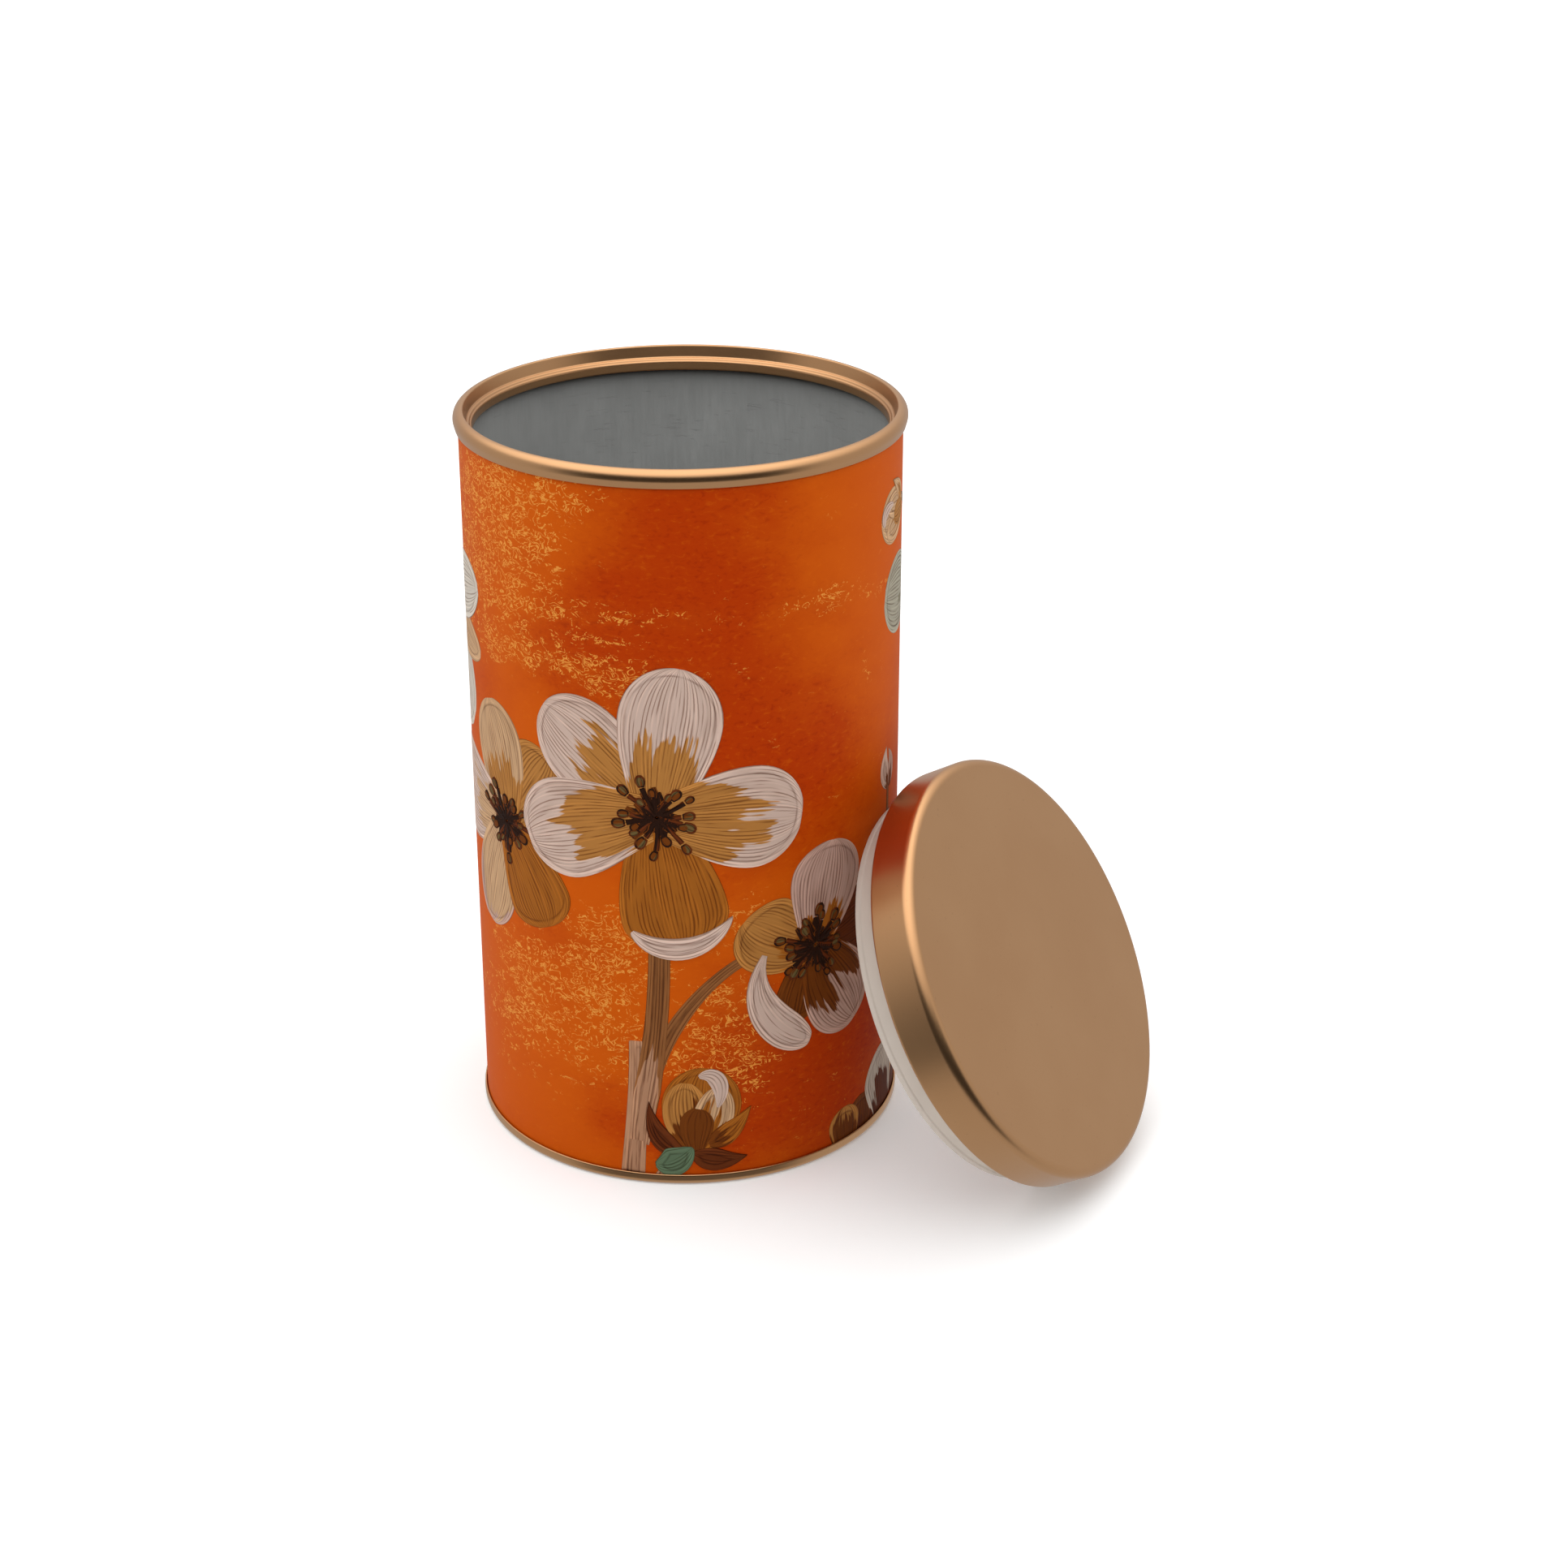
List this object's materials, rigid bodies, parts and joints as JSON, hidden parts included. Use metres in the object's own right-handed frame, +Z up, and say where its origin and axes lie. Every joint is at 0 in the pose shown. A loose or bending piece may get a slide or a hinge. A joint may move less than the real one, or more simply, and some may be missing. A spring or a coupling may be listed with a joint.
{
  "type": "cookie tin",
  "caption": "Tall round cookie canister with printed floral wrap, metal rims and a copper plug lid leaning against its side.",
  "frame": {"origin": "bottom centre of the box round the can and its leaning lid, on the surface that both stand on", "axes": "+Z up along the can's axis, -Y towards the viewer, +X towards the side where the lid leans"},
  "size_m": [0.135, 0.1082, 0.1435],
  "materials": {
    "board": "spirally wound grey-brown board, matte",
    "print": "matte varnished print with lightly raised outlines",
    "foil": "dull rolled foil with fine scuffs",
    "copper_tinplate": "tinplate with satin copper lacquer",
    "sealing_compound": "matte",
    "plug_plastic": "satin moulded off-white"
  },
  "bodies": {
    "can": {"paper_tube": "board", "printed_wrap": "print", "foil_liner": "foil", "top_ring": "copper_tinplate", "top_seam_seal": "sealing_compound", "bottom_end": "copper_tinplate", "bottom_seam_seal": "sealing_compound"},
    "lid": {"lid_shell": "copper_tinplate", "lid_plug": "plug_plastic"}
  },
  "joints": [
    {"name": "lid_lift_off", "type": "slide", "parent": "can", "child": "lid", "axis": [0.7851, -0.3796, 0.4894], "range_m": [0, 0.12]}
  ]
}
